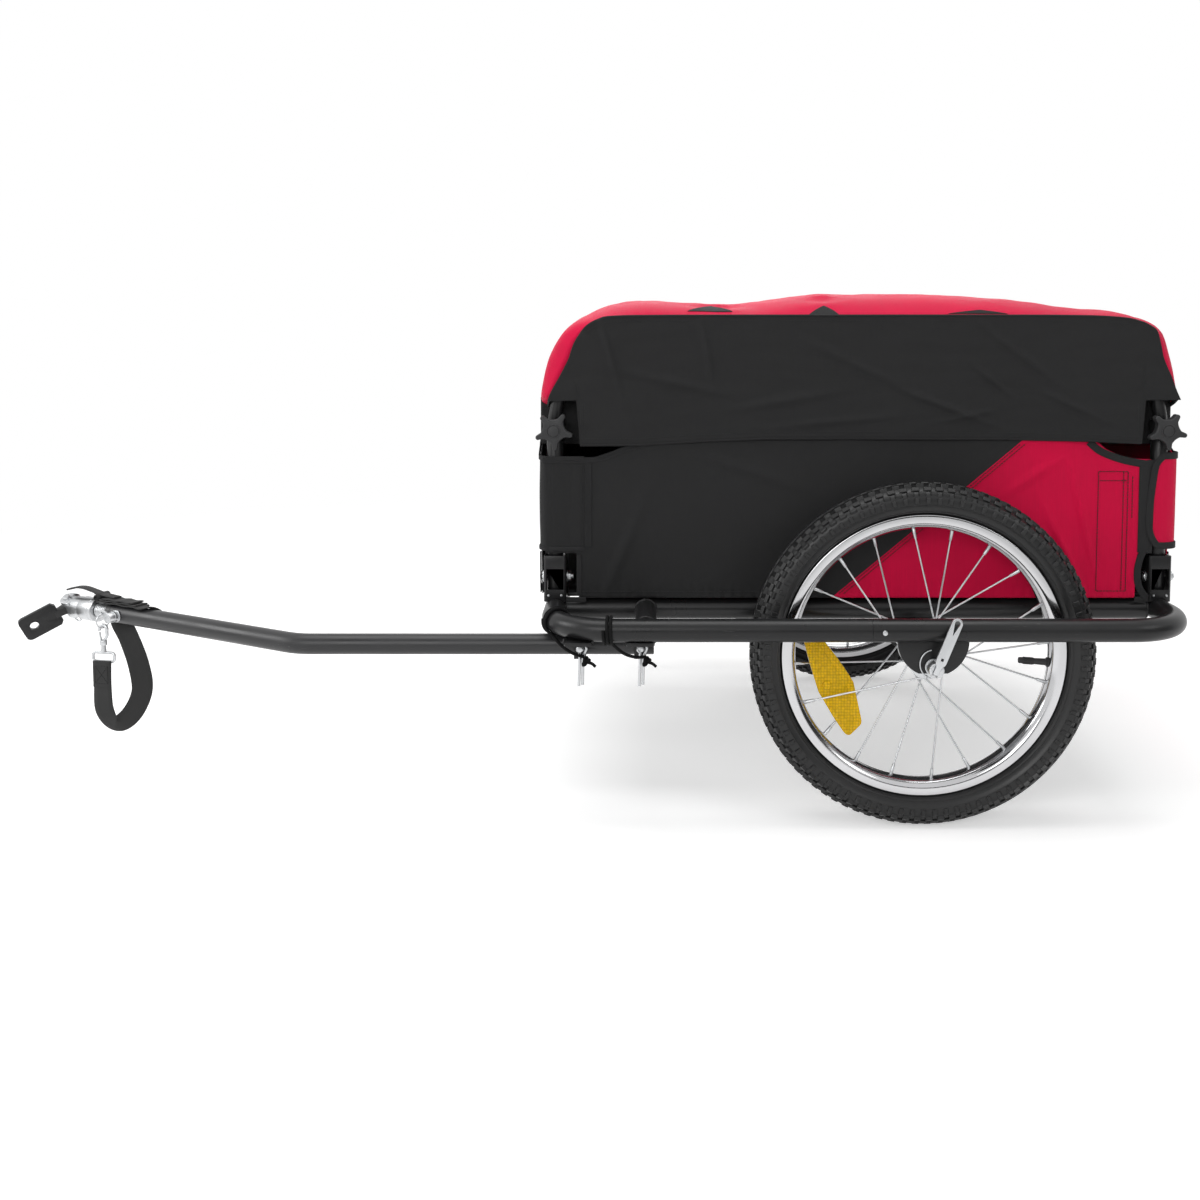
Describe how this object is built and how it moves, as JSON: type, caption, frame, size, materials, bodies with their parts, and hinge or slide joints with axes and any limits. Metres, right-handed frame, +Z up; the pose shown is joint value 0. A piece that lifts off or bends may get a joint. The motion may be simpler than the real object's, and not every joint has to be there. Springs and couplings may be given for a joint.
{
  "type": "bike cargo trailer",
  "caption": "Two-wheeled bicycle cargo trailer with a bent tube frame, fold-down sides, a covered fabric box, a bent drawbar and a sprung axle coupling.",
  "frame": {"origin": "middle of the overall box at ground level", "axes": "+Z up, -X forward along the drawbar side to the bicycle, -Y the trailer's left side"},
  "size_m": [1.4161, 0.7458, 0.6056],
  "materials": {
    "black_steel": "black powder coat, semi-gloss",
    "grey_steel": "dark grey powder coat, semi-gloss",
    "zinc": "zinc plated",
    "chrome": "chrome plated",
    "tyre": "black rubber",
    "black_plastic": "moulded black plastic",
    "amber": "clear amber reflector plastic",
    "black_fabric": "coated woven fabric, black",
    "red_fabric": "coated woven fabric, red",
    "webbing": "woven black webbing and cord",
    "floor_sheet": "stiff black sheet"
  },
  "bodies": {
    "frame": {"frame_front_loop": "black_steel", "frame_rear_loop": "black_steel", "rail_left": "black_steel", "rail_right": "black_steel", "cross_tube_front": "black_steel", "cross_tube_rear": "black_steel", "floor_board": "floor_sheet", "hinge_bracket_front_left": "black_steel", "hinge_bracket_front_right": "black_steel", "hinge_bracket_rear_left": "black_steel", "hinge_bracket_rear_right": "black_steel", "bag_front": "black_fabric", "bag_rear": "black_fabric", "axle_left": "zinc", "axle_right": "zinc", "qr_cap_left": "zinc", "qr_cap_right": "zinc", "drawbar": "grey_steel", "socket_front": "black_steel", "socket_rear": "black_steel", "hitch_pin_front": "zinc", "hitch_pin_rear": "zinc", "lanyard_front": "webbing", "lanyard_rear": "webbing", "strap_eye": "zinc", "split_ring": "zinc", "snap_hook": "zinc", "safety_strap": "webbing", "coupling_strap": "webbing"},
    "wheel_left": {"tyre_left": "tyre", "rim_left": "chrome", "hub_left": "zinc", "reflector_left": "amber", "valve_left": "black_plastic"},
    "lever_left": {"qr_lever_left": "zinc"},
    "side_frame_left": {"post_front_left": "black_steel", "post_rear_left": "black_steel", "hoop_left": "black_steel", "bag_side_left": "black_fabric"},
    "knob_front_left": {"star_knob_front_left": "black_plastic"},
    "knob_rear_left": {"star_knob_rear_left": "black_plastic"},
    "wheel_right": {"tyre_right": "tyre", "rim_right": "chrome", "hub_right": "zinc", "reflector_right": "amber", "valve_right": "black_plastic"},
    "lever_right": {"qr_lever_right": "zinc"},
    "side_frame_right": {"post_front_right": "black_steel", "post_rear_right": "black_steel", "hoop_right": "black_steel", "bag_side_right": "black_fabric"},
    "knob_front_right": {"star_knob_front_right": "black_plastic"},
    "knob_rear_right": {"star_knob_rear_right": "black_plastic"},
    "cover": {"cover": "red_fabric"},
    "spring": {"coupling_spring": "zinc"},
    "coupling": {"coupling_sleeve": "zinc", "coupling_pin": "zinc"},
    "hitch": {"hitch_plate": "black_steel"},
    "gate": {"snap_gate": "zinc"}
  },
  "joints": [
    {"name": "wheel_left_spin", "type": "hinge", "parent": "frame", "child": "wheel_left", "pos_m": [0.4, -0.2965, 0.196], "axis": [0, 1, 0], "continuous": true},
    {"name": "wheel_right_spin", "type": "hinge", "parent": "frame", "child": "wheel_right", "pos_m": [0.4, 0.2965, 0.196], "axis": [0, 1, 0], "continuous": true},
    {"name": "quick_release_left", "type": "hinge", "parent": "frame", "child": "lever_left", "pos_m": [0.4, -0.3665, 0.196], "axis": [0.9272, 0, -0.3746], "range_deg": [0, 180]},
    {"name": "quick_release_right", "type": "hinge", "parent": "frame", "child": "lever_right", "pos_m": [0.4, 0.3665, 0.196], "axis": [-0.9272, 0, 0.3746], "range_deg": [0, 180]},
    {"name": "side_frame_right_fold", "type": "hinge", "parent": "frame", "child": "side_frame_right", "pos_m": [0.3335, 0.24, 0.2735], "axis": [1, 0, 0], "range_deg": [0, 90], "deforming": ["bag_front", "bag_rear", "cover"]},
    {"name": "side_frame_left_fold", "type": "hinge", "parent": "frame", "child": "side_frame_left", "pos_m": [0.3335, -0.24, 0.2735], "axis": [-1, 0, 0], "range_deg": [0, 80], "deforming": ["bag_front", "bag_rear", "cover"]},
    {"name": "knob_front_left_turn", "type": "hinge", "parent": "side_frame_left", "child": "knob_front_left", "pos_m": [-0.019, -0.24, 0.446], "axis": [0, 1, 0], "continuous": true},
    {"name": "knob_rear_left_turn", "type": "hinge", "parent": "side_frame_left", "child": "knob_rear_left", "pos_m": [0.686, -0.24, 0.446], "axis": [0, 1, 0], "continuous": true},
    {"name": "knob_front_right_turn", "type": "hinge", "parent": "side_frame_right", "child": "knob_front_right", "pos_m": [-0.019, 0.24, 0.446], "axis": [0, 1, 0], "continuous": true},
    {"name": "knob_rear_right_turn", "type": "hinge", "parent": "side_frame_right", "child": "knob_rear_right", "pos_m": [0.686, 0.24, 0.446], "axis": [0, 1, 0], "continuous": true},
    {"name": "cover_lift", "type": "slide", "parent": "frame", "child": "cover", "axis": [0, 0, 1], "range_m": [0, 0.36]},
    {"name": "coupling_flex", "type": "hinge", "parent": "frame", "child": "spring", "pos_m": [-0.59506, -0.13477, 0.2072], "axis": [-0.4943, -0.8693, 0], "range_deg": [-25, 25], "deforming": ["coupling_spring", "coupling_strap"]},
    {"name": "coupling_roll", "type": "hinge", "parent": "spring", "child": "coupling", "pos_m": [-0.60479, -0.12923, 0.2072], "axis": [-0.8693, 0.4943, 0], "range_deg": [-60, 60], "deforming": ["coupling_strap"]},
    {"name": "hitch_yaw", "type": "hinge", "parent": "coupling", "child": "hitch", "pos_m": [-0.6526, -0.10204, 0.2072], "axis": [-0.2472, -0.4346, 0.866], "range_deg": [-30, 45], "deforming": ["coupling_strap"]},
    {"name": "snap_gate_open", "type": "hinge", "parent": "frame", "child": "gate", "pos_m": [-0.58828, -0.16585, 0.1783], "axis": [0.2079, 0.9781, 0], "range_deg": [0, 25]}
  ]
}
